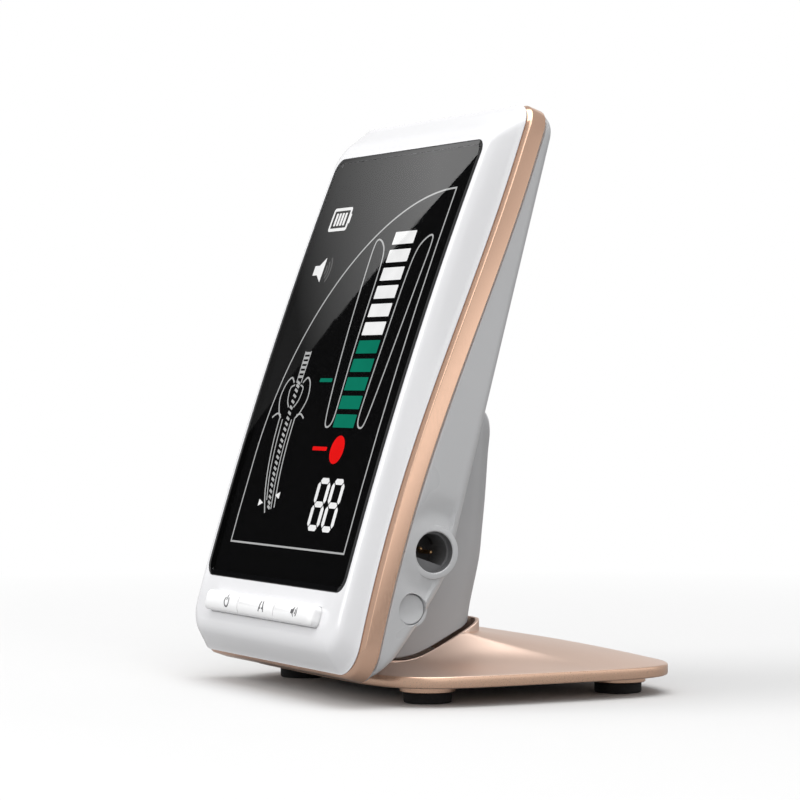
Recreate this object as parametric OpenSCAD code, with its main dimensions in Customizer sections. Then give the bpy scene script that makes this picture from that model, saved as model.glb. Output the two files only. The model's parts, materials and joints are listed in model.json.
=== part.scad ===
// Desktop apex locator: a leaning display head on a neck, tilting on a flat weighted base.
// Origin on the floor, under the middle of the outline seen from above. +X is the object's right, -Y its front, +Z up.
// Inside the head, local x is right, local y runs from the glass to the back, local z climbs the slope.

/* [Head] */
// Width of the head across the trim band
head_w = 84; // [83:0.5:86]
// Height of the head along its slope
head_h = 131.5; // [130:0.5:133]
// Lean of the head from upright, degrees
lean = 19.15; // [18:0.05:20]
// Corner radius of the head outline
head_r = 6; // [5:0.5:8]
// Wall thickness of the plastic shells
wall = 2.0; // [1.8:0.1:2.2]
// Depth of the trim band
trim_d = 4.7; // [4.5:0.1:5]

/* [Display] */
// Width of the display window
win_w = 74; // [72:0.5:74.5]
// Height of the display window
win_h = 104; // [102:0.5:104.5]
// Radius of the bow of the front face
bow_r = 966; // [900:10:1100]

/* [Keys] */
// Length of the bar formed by the three keys
key_bar = 58.6; // [58:0.2:62]
// Height of each key
key_h = 4.6; // [4.4:0.1:5]
// Height of the key bar above the front face
key_rise = 2.4; // [1:0.1:2.6]
// Position of the keys on the slope
key_v = -58; // [-58.2:0.1:-57.6]

/* [Sockets] */
// Radius of the measuring socket bore
socket_r = 4.45; // [4.3:0.05:4.5]
// Length of the round mouth of the measuring socket
socket_mouth = 3; // [2.5:0.1:3.2]
// Radius of the charging port opening
port_r = 3.4; // [3.2:0.1:3.5]

/* [Neck and hinge] */
// Width of the neck
neck_w = 46; // [45:0.5:46.5]
// Radius of the hinge pin
pin_r = 2; // [1.8:0.1:2.1]
// Running clearance between the hinge pin and the knuckle
pin_gap = 0.05; // [0.03:0.01:0.08]

/* [Base] */
// Width of the base plate at its middle
base_w = 93; // [92:0.5:95]
// Depth of the base plate at its middle
base_d = 75.6; // [75:0.1:76]
// Thickness of the base plate at its edge
base_t = 2.65; // [2.4:0.05:2.8]
// Spacing of the feet across
foot_dx = 64.3; // [63:0.1:66]
// Spacing of the feet front to back
foot_dy = 48.26; // [47:0.1:49]
// Radius of the rubber feet
foot_r = 5.3; // [5:0.1:5.5]
// Height of the rubber feet
foot_h = 2.45; // [2.3:0.05:3]

/* [Hidden] */
eps = 0.01;
far = 300;
gap = 0.1;
// How far back of the outline's middle the feet are centred
middle_y = 7.33;
// Head reference point: middle of the window, on the line between its upper and lower edges
head_y = -29.64;
head_z = 73.84;
// Middle of the head outline, below the middle of the window
head_v = -3.25;
head_top = head_v + head_h / 2;
head_low = head_v - head_h / 2;
// Front face: where it stands furthest forward, and how far
bow_v = -5;
bow_u = (win_h / 2 + bow_v) * (win_h / 2 + bow_v) / (2 * bow_r) + 0.3;
face_w = head_w - 6.5;
face_h = head_h - 13;
// Middle of the flat of the front face
face_v = -4.75;
// Glass, gasket and panel depths
glass_t = 1.8;
gasket_t = 0.4;
lcd_w = 66;
lcd_h = 96;
lcd_u = 2.4;
lcd_t = 1.4;
light_t = 2.6;
// Room inside the rear housing
cavity_w = head_w - 4.6 - 2 * wall;
cavity_h = head_h - 5.6 - 2 * wall;
// Keys
key_travel = 0.8;
key_pitch = key_bar / 3;
key_back = 3.0;
pad_u = key_back + key_travel + 0.1;
switch_u = 6.6;
// Main board
board_u = 8.6;
board_t = 1.6;
board_v = -2;
board_w = 64;
board_h = 88;
// Screw sizes
m2_r = 1.0;
m2_head_r = 1.9;
m2_head_h = 1.4;
m3_r = 1.5;
m3_head_r = 2.7;
screw_gap = 0.05;
// Sockets, in the head's local y and z
socket_u = 15.8;
socket_v = -37.5;
socket_ring_r = 5.7;
socket_x = head_w / 2 - 0.8;
core_x = socket_x - socket_mouth;
port_u = 15;
port_v = -50.7;
port_x = head_w / 2 - 1.0;
port_inset = 1.2;
// Base and hinge
base_low = 4.15;
base_top = base_low + base_t;
base_y = -0.9;
pivot_y = -19.1;
pivot_z = 17;
pocket_y = -19.1;
pocket_w = neck_w + 1.6;
pocket_d = 27.4;
pocket_z = 8.2;
lip_t = 0.7;
slope_z = 14.2;
lug_x = 10;
lug_t = 2;
washer_t = 0.26;
knuckle_x = lug_x + lug_t + washer_t + 0.04;
knuckle_t = 3;
cover_a = 23.6;
cover_b = 29;
cover_t = 1.2;

white = [0.93, 0.93, 0.94];
gold = [0.82, 0.63, 0.52];
pale_gold = [0.90, 0.80, 0.74];
grey = [0.72, 0.73, 0.75];
neck_grey = [0.63, 0.64, 0.66];
steel = [0.70, 0.71, 0.72];
black = [0.05, 0.05, 0.06];
board_green = [0.05, 0.35, 0.20];

// ---- Curves of the head's side view, as depth at height v ----
function soft_step(t) = let (c = max(0, min(1, t))) c * c * (3 - 2 * c);
function face_u(v) = -bow_u + (v - bow_v) * (v - bow_v) / (2 * bow_r);
function trim_u(v) = v > -25 ? 3.2 + 3 * soft_step((v + 25) / 75) : 3.2 + (v + 25) * (v + 25) / 700;
function back_u(v) = v > -40 ? 14.6 + (50 - v) * 0.0756 : 21.4 - 9 * pow((-40 - v) / 28, 1.3);

// ---- Curve of the neck's underside, as height at depth y ----
function soft_ramp(d) = (d + sqrt(d * d + 16)) / 2;
function neck_low(y) = 8.45 + 0.55 * soft_ramp(y + 22.5);

// ---- Shared shapes ----
module in_head() translate([0, head_y, head_z]) rotate([-lean, 0, 0]) children();

function corner(cx, cy, r, from, steps) =
    [for (i = [0:steps]) [cx + r * cos(from + 90 * i / steps), cy + r * sin(from + 90 * i / steps)]];
function round_rect(w, h, r, cy = 0, steps = 8) = concat(
    corner(w / 2 - r, cy + h / 2 - r, r, 0, steps),
    corner(-w / 2 + r, cy + h / 2 - r, r, 90, steps),
    corner(-w / 2 + r, cy - h / 2 + r, r, 180, steps),
    corner(w / 2 - r, cy - h / 2 + r, r, 270, steps));

// Rounded slab facing the front, from depth u0 to depth u1
module slab(w, h, r, u0, u1, v = 0) {
    translate([0, u1, 0])
        rotate([90, 0, 0])
            linear_extrude(u1 - u0)
                polygon(round_rect(w, h, r, v));
}

// Side profile in depth and height, run across the width
module across(points, w) {
    translate([-w / 2, 0, 0])
        rotate([90, 0, 90])
            linear_extrude(w)
                polygon(points);
}

module bar_u(r, u0, u1) translate([0, u0, 0]) rotate([-90, 0, 0]) cylinder(r = r, h = u1 - u0, $fn = 32);
module bar_x(r, x0, x1, fn = 48) translate([x0, 0, 0]) rotate([0, 90, 0]) cylinder(r = r, h = x1 - x0, $fn = fn);
module box(x0, x1, y0, y1, z0, z1) translate([x0, y0, z0]) cube([x1 - x0, y1 - y0, z1 - z0]);
module both_sides() {
    children();
    mirror([1, 0, 0]) children();
}
module at_four(dx, dy, z = 0)
    for (sx = [-1, 1], sy = [-1, 1]) translate([sx * dx / 2, sy * dy / 2, z]) children();

side_n = 24;
v_steps = [for (i = [0:side_n]) head_low - 2 + i * (head_h + 4) / side_n];
// Layer between two depths that follow the front face
module face_layer(u0, u1, w = 2 * far) {
    across(concat([for (v = v_steps) [face_u(v) + u0, v]],
        [for (i = [side_n:-1:0]) [face_u(v_steps[i]) + u1, v_steps[i]]]), w);
}
module between_face_and_trim(w = 2 * far) {
    across(concat([for (v = v_steps) [face_u(v), v]],
        [for (i = [side_n:-1:0]) [trim_u(v_steps[i]), v_steps[i]]]), w);
}
module trim_layer(u0, u1, w = 2 * far) {
    across(concat([for (v = v_steps) [trim_u(v) + u0, v]],
        [for (i = [side_n:-1:0]) [trim_u(v_steps[i]) + u1, v_steps[i]]]), w);
}
// Region of the rear housing's side view, from the trim band to the back
module rear_profile() {
    low = head_low + 1.4;
    top = head_top - 0.6;
    steps = [for (i = [0:side_n]) low + i * (top - 2.6 - low) / side_n];
    across(concat([for (i = [side_n:-1:0]) [trim_u(steps[i]) + trim_d + gap * 2, steps[i]]],
        [for (v = steps) [back_u(v), v]],
        [[11.5, top], [trim_u(top) + trim_d + gap * 2, top]]), 2 * far);
}
// Everything in front of the back face, less a wall
module before_back(s) {
    across(concat([[-5, head_low]], [for (v = v_steps) if (v < head_top) [back_u(v) - s, v]],
        [[-5, head_top]]), 2 * far);
}

// ---- Head shells ----
module front_form(s = 0) {
    hull() {
        slab(face_w - 2 * s, face_h - 2 * s, 5 - s, -3, 0.3, face_v);
        slab(head_w - 2 * s, head_h - 2 * s, head_r - s, 4.2, 12, head_v);
    }
}

screw_spots = [[30, 55], [-30, 55], [34.5, -61.2], [-34.5, -61.2]];
boss_r = 2.4;
boss_u = 9.4;

module front_housing() {
    color(white) in_head() difference() {
        union() {
            difference() {
                intersection() {
                    front_form();
                    between_face_and_trim();
                }
                // Inside, leaving the ledge behind the window
                intersection() {
                    front_form(wall);
                    face_layer(glass_t + gasket_t + 1.0, far);
                }
                slab(head_w - 2 * wall - 1, head_h - 2 * wall - 1, head_r - wall, 3.1, far, head_v);
            }
            for (p = screw_spots) translate([p[0], 0, p[1]]) bar_u(boss_r, 2.2, boss_u);
        }
        // Window seat and opening
        intersection() {
            slab(win_w + 2 * gap, win_h + 2 * gap, 3.6, -far, far);
            face_layer(-far, glass_t + gasket_t);
        }
        slab(lcd_w + 1, lcd_h + 1, 1.5, -far, far);
        // Key slot, wider at the back for the key flanges
        slab(key_bar + 2 * gap + 0.2, key_h + 0.3, 1.2, -far, far, key_v);
        slab(key_bar + 0.6, key_h + 2.3, 1.2, 2.1, far, key_v);
        for (p = screw_spots) translate([p[0], 0, p[1]]) bar_u(m2_r + screw_gap, 3.4, far);
    }
}

module display_window() {
    color(black) in_head() intersection() {
        slab(win_w, win_h, 3.5, -5, 5);
        face_layer(0, glass_t);
    }
}

module window_gasket() {
    color(black) in_head() intersection() {
        difference() {
            slab(win_w - 0.4, win_h - 0.4, 3.3, -5, 8);
            slab(lcd_w + 2, lcd_h + 2, 2, -6, 9);
        }
        face_layer(glass_t + 0.02, glass_t + gasket_t - 0.02);
    }
}

module lcd_panel() color([0.10, 0.11, 0.12]) in_head() slab(lcd_w, lcd_h, 0.8, lcd_u, lcd_u + lcd_t);

module backlight() {
    color([0.92, 0.92, 0.88]) in_head() {
        slab(lcd_w, lcd_h, 0.8, lcd_u + lcd_t + 0.02, lcd_u + lcd_t + light_t);
    }
}

module lcd_flex() {
    // Flat ribbon from the lower edge of the panel down and back to the board
    color([0.75, 0.45, 0.12]) in_head() {
        box(-9, 9, 3.0, 3.3, -50.6, -lcd_h / 2 - 0.05);
        box(-9, 9, 3.0, board_u - 0.05, -50.9, -50.6);
        box(-9, 9, board_u - 0.35, board_u - 0.05, -50.9, -45);
    }
}

module trim_band() {
    color(gold) in_head() difference() {
        intersection() {
            slab(head_w, head_h, head_r, 0, 20, head_v);
            trim_layer(gap / 2, trim_d);
        }
        slab(head_w - 2 * wall, head_h - 2 * wall, head_r - wall, -1, 21, head_v);
    }
}

module rear_form() {
    hull() {
        slab(head_w - 0.8, head_h - 0.8, head_r, 5, 9, head_v);
        slab(head_w - 4.6, head_h - 5, head_r - 1, 23, 24, head_v);
    }
}

module rear_housing() {
    color(grey) in_head() difference() {
        union() {
            difference() {
                intersection() {
                    rear_form();
                    rear_profile();
                }
                intersection() {
                    slab(cavity_w, cavity_h, head_r - wall, 0, 30, head_v);
                    before_back(wall);
                }
            }
            // Socket barrel and port collar
            translate([0, socket_u, socket_v]) bar_x(socket_ring_r, 33.5, socket_x);
            intersection() {
                translate([0, port_u, port_v]) bar_x(port_r + 1.0, 36.8, port_x);
                before_back(0.3);
            }
            // Screw posts at the corners
            for (p = screw_spots) translate([p[0], 0, p[1]]) bar_u(boss_r, boss_u + gap, 12.4);
        }
        translate([0, socket_u, socket_v]) {
            bar_x(socket_r, core_x - 1, far);
            bar_x(socket_ring_r - 0.9, 20, core_x);
        }
        translate([0, port_u, port_v]) bar_x(port_r, 20, far);
        // Opening for the battery lead
        box(-6, 6, 12, 30, -16, -10);
        // Screw holes and head seats
        for (p = screw_spots) translate([p[0], 0, p[1]]) {
            bar_u(m2_r + screw_gap, 0, far);
            bar_u(m2_head_r + 0.1, 11.2, far);
        }
        for (p = neck_spots) translate([p[0], 0, p[1]]) bar_u(m2_r + screw_gap, 10, far);
    }
}

module screw_u(u_tip, u_seat) {
    bar_u(m2_r, u_tip, u_seat + 0.3);
    difference() {
        bar_u(m2_head_r, u_seat, u_seat + m2_head_h);
        box(-2.2, 2.2, u_seat + m2_head_h - 0.6, 99, -0.25, 0.25);
    }
}

module housing_screws() {
    color(steel) in_head() for (p = screw_spots) translate([p[0], 0, p[1]]) screw_u(4.2, 11.22);
}

// ---- Keys ----
module key(slot) {
    x = slot * key_pitch;
    color(white) in_head() {
        intersection() {
            translate([x, 0, 0]) slab(key_pitch - 0.2, key_h, 1.0, -5, 2.4, key_v);
            face_layer(-key_rise, 9);
        }
        translate([x, 0, 0]) slab(key_pitch - 0.6, key_h + 1.6, 0.8, 2.3, key_back, key_v);
    }
}
module power_key() key(-1);
module set_key() key(0);
module volume_key() key(1);

module key_membrane() {
    color([0.25, 0.25, 0.27]) in_head() {
        slab(key_bar - 1, 7.4, 1, pad_u + 0.3, pad_u + 0.9, key_v);
        for (i = [-1:1]) translate([i * key_pitch, 0, key_v]) bar_u(2.2, pad_u, pad_u + 0.5);
    }
}
module tact_switches() {
    color([0.2, 0.2, 0.22]) in_head() for (i = [-1:1]) translate([i * key_pitch, 0, key_v]) {
        box(-2.2, 2.2, pad_u + 0.95, switch_u - 0.05, -2.2, 2.2);
    }
}
module switch_board() color(board_green) in_head() slab(key_bar - 1, 8, 0.6, switch_u, switch_u + 1, key_v);

// ---- Electronics ----
board_spots = [[29, 38], [-29, 38], [29, -42], [-29, -42]];
module main_board() {
    color(board_green) in_head() difference() {
        union() {
            slab(board_w, board_h, 2, board_u, board_u + board_t, board_v);
            // Soldered parts
            box(-8, 8, board_u + board_t - eps, board_u + board_t + 1.4, -2, 14);
            box(12, 21, board_u + board_t - eps, board_u + board_t + 1.2, -8, 4);
            box(-26, -18, board_u + board_t - eps, board_u + board_t + 2.4, 20, 30);
            box(-10, 10, board_u - 1, board_u + eps, -44, -41);
        }
        for (p = board_spots) translate([p[0], 0, p[1]]) bar_u(m2_r + screw_gap, 0, far);
    }
}
module board_screws() {
    color(steel) in_head() for (p = board_spots) translate([p[0], 0, p[1]]) {
        bar_u(m2_r, 6.6, board_u + board_t + 0.4);
        bar_u(m2_head_r, board_u + board_t + 0.02, board_u + board_t + 1.3);
    }
}
module buzzer() {
    color(black) in_head() translate([20, 0, 24]) difference() {
        bar_u(5, board_u + board_t + 0.05, board_u + board_t + 2.9);
        bar_u(0.8, board_u + board_t + 1.5, far);
    }
}

module socket_core() {
    // Insulator with a keyed recess: a round hole with a flat side at the bottom
    color([0.13, 0.13, 0.14]) in_head() translate([0, socket_u, socket_v]) difference() {
        bar_x(socket_ring_r - 0.95, 28, core_x - 0.05);
        difference() {
            bar_x(socket_r - 0.3, 31, far);
            box(20, 60, -9, 9, -9, -2.1);
        }
        for (u = [-1.6, 1.6]) translate([0, u, 0.2]) bar_x(0.5, 20, 60, 24);
    }
}
module contact_pins() {
    color([0.85, 0.65, 0.30]) in_head() translate([0, socket_u, socket_v]) for (u = [-1.6, 1.6])
        translate([0, u, 0.2]) bar_x(0.45, 26, 36.5, 24);
}
module charge_jack() {
    color(black) in_head() translate([0, port_u, port_v]) difference() {
        box(24, 35.5, -3.6, 0.9, -2.3, 2.6);
        bar_x(0.8, 27, 99);
    }
}
module port_cap() {
    color(grey) in_head() translate([0, port_u, port_v]) union() {
        bar_x(port_r - gap / 2, 37.2, port_x - port_inset);
        bar_x(1.6, 36, 37.3);
    }
}

// ---- Neck ----
neck_spots = [[18.3, -14], [-18.3, -14], [18.3, -44], [-18.3, -44]];
// Back of the neck at height z, in the row frame
neck_back = [[-6.9, 17.2], [-6.25, 20.8], [-4.1, 30], [-3.3, 36.7], [-2.5, 44.4], [-1.8, 53.6], [-1.3, 58.7],
    [-1.9, 62], [-4.2, 64.8], [-9, 66.5]];
low_steps = [for (i = [0:12]) -34 + i * 26.9 / 12];

module neck_side(s) {
    across(concat([for (y = low_steps) [y, neck_low(y) - (s > 0 ? 20 : 0)]],
        [for (p = neck_back) [p[0] - s, p[1] - (p[1] > 60 ? s : 0)]],
        [[-34, 66.5 - s]]), neck_w - 2 * s);
}
module neck_plan(s) {
    r = 6 - s;
    hull() {
        translate([0, 0, -2]) linear_extrude(14) polygon(round_rect(neck_w - 2 * s, 40.4 - 2 * s, r, -27.2));
        translate([0, 0, 58]) linear_extrude(12) polygon(round_rect(neck_w - 2 * s, 49 - 2 * s, r, -25.1));
    }
}
module neck_form(s) {
    intersection() {
        neck_side(s);
        neck_plan(s);
    }
}
module head_envelope() {
    in_head() intersection() {
        hull() {
            slab(head_w, head_h, head_r, -5, 9, head_v);
            slab(head_w - 4.2, head_h - 4.6, head_r - 1, 23, 24, head_v);
        }
        across(concat([[-20, head_low], [-20, head_top]],
            [for (i = [side_n:-1:0]) [back_u(v_steps[i]) + 0.3, v_steps[i]]]), 2 * far);
    }
}
cover_z0 = 37.2;
cover_z1 = 60;
cover_half = 15;
module neck() {
    color(neck_grey) difference() {
        union() {
            difference() {
                neck_form(0);
                neck_form(wall + 0.4);
            }
            // Rib that carries the knuckle
            intersection() {
                neck_form(0.5);
                box(-neck_w / 2, neck_w / 2, -19, 5, 31.2, 33.4);
            }
            // Screw posts towards the head
            intersection() {
                neck_form(0.5);
                in_head() for (p = neck_spots) translate([p[0], 0, p[1]]) bar_u(2.6, 10, 28);
            }
        }
        head_envelope();
        // Seat and opening of the battery cover
        intersection() {
            box(-cover_half - gap, cover_half + gap, -16, 10, cover_z0 - gap, cover_z1 + gap);
            difference() {
                neck_form(-1);
                neck_form(1.6);
            }
        }
        box(-cover_half + 1.5, cover_half - 1.5, -8, 10, cover_z0 + 4.5, cover_z1 - 1.5);
        translate([0, -30, 39.6]) rotate([-90, 0, 0]) cylinder(r = m2_r + screw_gap, h = 50, $fn = 32);
        in_head() for (p = neck_spots) translate([p[0], 0, p[1]]) bar_u(m2_r + screw_gap, 10, 26);
        for (x = [-8, 8]) translate([x, -12, 25]) cylinder(r = m2_r + screw_gap, h = 12, $fn = 32);
    }
}
module neck_screws() {
    color(steel) in_head() for (p = neck_spots) translate([p[0], 0, p[1]]) {
        seat = back_u(p[1]) - wall - 0.75;
        bar_u(m2_r, seat, seat + 7);
        bar_u(m2_head_r, seat - m2_head_h, seat + eps);
    }
}
module battery_cover() {
    color(neck_grey) difference() {
        intersection() {
            box(-cover_half, cover_half, -16, 10, cover_z0, cover_z1);
            difference() {
                neck_form(0);
                neck_form(1.55);
            }
        }
        translate([0, -30, 39.6]) rotate([-90, 0, 0]) cylinder(r = m2_r + screw_gap, h = 50, $fn = 32);
        translate([0, -4.1, 39.6]) rotate([-90, 0, 0]) cylinder(r = m2_head_r + 0.1, h = 5, $fn = 32);
    }
}
module cover_screw() {
    color(steel) translate([0, 0, 39.6]) rotate([-90, 0, 0]) {
        translate([0, 0, -8]) cylinder(r = m2_r, h = 4.2, $fn = 32);
        translate([0, 0, -4.05]) cylinder(r = m2_head_r, h = 0.9, $fn = 32);
    }
}
module battery() color([0.20, 0.32, 0.55]) box(-14, 14, -12.8, -6.4, 42, 58.5);
module battery_lead() {
    // Two wires from the top of the cell, through the rear housing, to the board
    color([0.75, 0.10, 0.08]) for (x = [-1.5, 1.5]) translate([x, 0, 0]) {
        translate([0, -9.6, 58.5]) cylinder(r = 0.6, h = 2.1, $fn = 16);
        translate([0, -9.6, 60.6]) sphere(r = 0.6, $fn = 16);
        in_head() translate([0, board_u + board_t + 0.1, -12.15]) rotate([-90, 0, 0])
            cylinder(r = 0.6, h = 8, $fn = 16);
    }
}

// ---- Hinge ----
module hinge_knuckle() {
    color(steel) difference() {
        union() {
            both_sides() hull() {
                translate([0, pivot_y, pivot_z]) bar_x(4, knuckle_x, knuckle_x + knuckle_t);
                box(knuckle_x, knuckle_x + knuckle_t, -16, -8.6, 29, 31.1);
            }
            box(-knuckle_x - eps, knuckle_x + eps, -16, -8.6, 29.3, 31.1);
        }
        translate([0, pivot_y, pivot_z]) bar_x(pin_r + pin_gap, -30, 30);
        for (x = [-8, 8]) translate([x, -12, 20]) cylinder(r = m2_r + screw_gap, h = 20, $fn = 32);
    }
}
module knuckle_screws() {
    color(steel) for (x = [-8, 8]) translate([x, -12, 0]) {
        translate([0, 0, 29]) cylinder(r = m2_r, h = 6.4, $fn = 32);
        translate([0, 0, 27.85]) cylinder(r = m2_head_r, h = m2_head_h, $fn = 32);
    }
}
module hinge_pin() {
    color(steel) translate([0, pivot_y, pivot_z]) {
        bar_x(pin_r, -17.5, 16);
        bar_x(pin_r + 1.2, 15.5 + eps * 2, 17);
    }
}
module pin_clip() {
    color(steel) translate([0, pivot_y, pivot_z]) difference() {
        bar_x(pin_r + 1.4, -16.3, -15.5);
        bar_x(pin_r + 0.01, -20, 0);
        box(-20, 0, -1.2, 1.2, -9, 0);
    }
}
module friction_washers() {
    color([0.8, 0.7, 0.4]) both_sides() translate([0, pivot_y, pivot_z]) difference() {
        bar_x(3.6, lug_x + lug_t + 0.02, lug_x + lug_t + washer_t);
        bar_x(pin_r + pin_gap, 0, 30);
    }
}
module hinge_bracket() {
    color(steel) difference() {
        union() {
            box(-lug_x - lug_t, lug_x + lug_t, pivot_y - 7, pivot_y + 7, pocket_z + 0.02, pocket_z + 1.6);
            both_sides() hull() {
                translate([0, pivot_y, pivot_z]) bar_x(3.8, lug_x, lug_x + lug_t);
                box(lug_x, lug_x + lug_t, pivot_y - 6, pivot_y + 6, pocket_z + 0.1, pocket_z + 1.5);
            }
        }
        translate([0, pivot_y, pivot_z]) bar_x(pin_r + 0.02, -30, 30);
        for (x = [-5, 5]) translate([x, pivot_y, 0]) cylinder(r = m3_r + screw_gap, h = 20, $fn = 32);
    }
}
module bracket_screws() {
    color(steel) for (x = [-5, 5]) translate([x, pivot_y, 0]) {
        translate([0, 0, 6.2]) cylinder(r = m3_r, h = 4.4, $fn = 32);
        translate([0, 0, 5.95]) cylinder(r = m3_head_r, h = 0.8, $fn = 32);
    }
}

// ---- Base ----
// Rounded outlines with bowed sides, as a point at angle a
function power_of(c, n) = sign(c) * pow(abs(c), 2 / n);
function rim(a) = [base_w / 2 * power_of(cos(a), 5), base_y + base_d / 2 * power_of(sin(a), 5)];
function pocket(a, s = 0) =
    [(pocket_w / 2 + s) * power_of(cos(a), 7), pocket_y + (pocket_d / 2 + s) * power_of(sin(a), 7)];
function mix(p, q, t) = p + (q - p) * t;
// Share of the rearward direction at angle a: 1 at the back, 0 at the sides and front
function rearward(a) = soft_step((sin(a) - 0.1) / 0.8);
function lip_z(a) = min(neck_low(pocket(a)[1]) - 0.5, 17);
function foot_z(a) = min(neck_low(pocket(a)[1]) - 0.6, slope_z);
function fall(t, a) = let (b = 0.35 - 0.8 * rearward(a)) 1 - (1 + b) * t + b * t * t;
function slope_at(t, a) = base_top + (foot_z(a) - base_top) * fall(t, a);

turns = 96;
slope_rings = [0, 0.06, 0.14, 0.24, 0.36, 0.5, 0.64, 0.78, 0.9, 0.985];
function base_ring(k, a) =
    k == 0 ? concat(pocket(a), pocket_z) :
    k == 1 ? concat(pocket(a), lip_z(a)) :
    k == 2 ? concat(pocket(a, lip_t), lip_z(a)) :
    k < 13 ? let (t = slope_rings[k - 3]) concat(mix(pocket(a, lip_t + 0.05), rim(a), t), slope_at(t, a)) :
    k == 13 ? concat(rim(a), base_top - 0.35) :
    k == 14 ? concat(rim(a), base_low + 0.3) :
    concat(mix([0, base_y], rim(a), 0.992), base_low);
rings = 16;
function ring_face(k, i) = let (j = (i + 1) % turns) [k * turns + i, (k + 1) * turns + i, (k + 1) * turns + j,
    k * turns + j];
module base_form() {
    points = [for (k = [0:rings - 1], i = [0:turns - 1]) base_ring(k, 360 * (i + 0.5) / turns)];
    faces = concat([for (k = [0:rings - 2], i = [0:turns - 1]) each
            let (q = ring_face(k, i)) [[q[0], q[2], q[1]], [q[0], q[3], q[2]]]],
        [[for (i = [0:turns - 1]) turns - 1 - i]], [[for (i = [0:turns - 1]) (rings - 1) * turns + i]]);
    polyhedron(points, faces);
}
module oval(a, b, y, z0, z1) {
    translate([0, y, z0]) linear_extrude(z1 - z0)
        polygon([for (i = [0:63]) [a * power_of(cos(i * 5.625), 4), b * power_of(sin(i * 5.625), 4)]]);
}
cover_spots = [[20, 10], [-20, 10], [17, -24], [-17, -24]];
module base_plate() {
    color(pale_gold) difference() {
        base_form();
        oval(cover_a + gap, cover_b + gap, base_y, 0, base_low + cover_t + 0.05);
        // Counterweight pocket
        box(-17.2, 17.2, -1.2, 18.2, base_low, 8.1);
        for (x = [-5, 5]) translate([x, pivot_y, 0]) {
            cylinder(r = m3_r + screw_gap, h = 20, $fn = 32);
            cylinder(r = m3_head_r + 0.1, h = 6.8, $fn = 32);
        }
        at_four(foot_dx, foot_dy) cylinder(r = 1.55, h = 6.2, $fn = 32);
        for (p = cover_spots) translate([p[0], p[1], 0]) cylinder(r = m2_r + screw_gap, h = 7.0, $fn = 32);
    }
}
module counterweight() color(steel) box(-17, 17, -1, 18, base_low + cover_t + 0.1, 8.0);
module base_cover() {
    color([0.20, 0.20, 0.21]) difference() {
        oval(cover_a, cover_b, base_y, base_low, base_low + cover_t);
        for (p = cover_spots) translate([p[0], p[1], 0]) {
            cylinder(r = m2_r + screw_gap, h = 9, $fn = 32);
            cylinder(r = m2_head_r + 0.1, h = base_low + 0.8, $fn = 32);
        }
    }
}
module cover_screws() {
    color(steel) for (p = cover_spots) translate([p[0], p[1], 0]) {
        translate([0, 0, base_low + 0.1]) cylinder(r = m2_head_r, h = 0.65, $fn = 32);
        translate([0, 0, base_low + 0.6]) cylinder(r = m2_r, h = 1.6, $fn = 32);
    }
}
module foot_pads() {
    color(gold) at_four(foot_dx, foot_dy) difference() {
        union() {
            translate([0, 0, foot_h]) cylinder(r = foot_r + 0.9, h = base_low - foot_h - 0.02, $fn = 64);
            translate([0, 0, foot_h + 1]) cylinder(r = 1.5, h = 2.3, $fn = 32);
        }
        translate([0, 0, foot_h - 1]) cylinder(r = 1.55, h = 1.9, $fn = 32);
    }
}
module rubber_feet() {
    color(black) at_four(foot_dx, foot_dy) {
        cylinder(r = foot_r, h = foot_h - 0.02, $fn = 64);
        translate([0, 0, foot_h - 0.5]) cylinder(r = 1.5, h = 1.3, $fn = 32);
    }
}

translate([0, middle_y, 0]) {
    front_housing();
    display_window();
    window_gasket();
    lcd_panel();
    backlight();
    lcd_flex();
    trim_band();
    rear_housing();
    power_key();
    set_key();
    volume_key();
    key_membrane();
    switch_board();
    tact_switches();
    main_board();
    board_screws();
    buzzer();
    socket_core();
    contact_pins();
    charge_jack();
    port_cap();
    battery();
    battery_lead();
    battery_cover();
    cover_screw();
    housing_screws();
    neck();
    neck_screws();
    hinge_knuckle();
    knuckle_screws();
    hinge_pin();
    pin_clip();
    friction_washers();
    hinge_bracket();
    bracket_screws();
    base_plate();
    counterweight();
    base_cover();
    cover_screws();
    foot_pads();
    rubber_feet();
}
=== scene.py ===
"""Looks of a desktop apex locator: a leaning display head on a neck that tilts on a flat gold base.

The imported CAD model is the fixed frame. Lengths below are in millimetres and become metres where a mesh is
made. Inside the head, x runs right, u from the glass towards the back and v up the slope.
"""
import json
import math

import bmesh
import bpy
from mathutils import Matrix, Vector


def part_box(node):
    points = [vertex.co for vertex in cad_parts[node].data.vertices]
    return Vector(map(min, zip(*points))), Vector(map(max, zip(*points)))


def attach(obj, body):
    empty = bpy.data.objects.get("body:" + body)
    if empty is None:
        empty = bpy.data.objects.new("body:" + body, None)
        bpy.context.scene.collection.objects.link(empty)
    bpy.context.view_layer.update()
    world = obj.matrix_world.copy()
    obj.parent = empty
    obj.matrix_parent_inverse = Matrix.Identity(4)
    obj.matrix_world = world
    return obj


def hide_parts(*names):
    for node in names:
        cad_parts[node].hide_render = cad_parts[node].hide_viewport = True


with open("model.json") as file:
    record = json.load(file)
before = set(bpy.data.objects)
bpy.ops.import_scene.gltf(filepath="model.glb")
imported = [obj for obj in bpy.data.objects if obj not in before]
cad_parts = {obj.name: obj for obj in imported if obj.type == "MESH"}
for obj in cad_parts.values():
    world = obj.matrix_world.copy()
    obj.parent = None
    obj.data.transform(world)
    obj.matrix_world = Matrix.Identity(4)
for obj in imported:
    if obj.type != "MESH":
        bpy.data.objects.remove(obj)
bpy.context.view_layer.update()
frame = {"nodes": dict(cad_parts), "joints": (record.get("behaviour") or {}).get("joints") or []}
MM = 0.001

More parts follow.
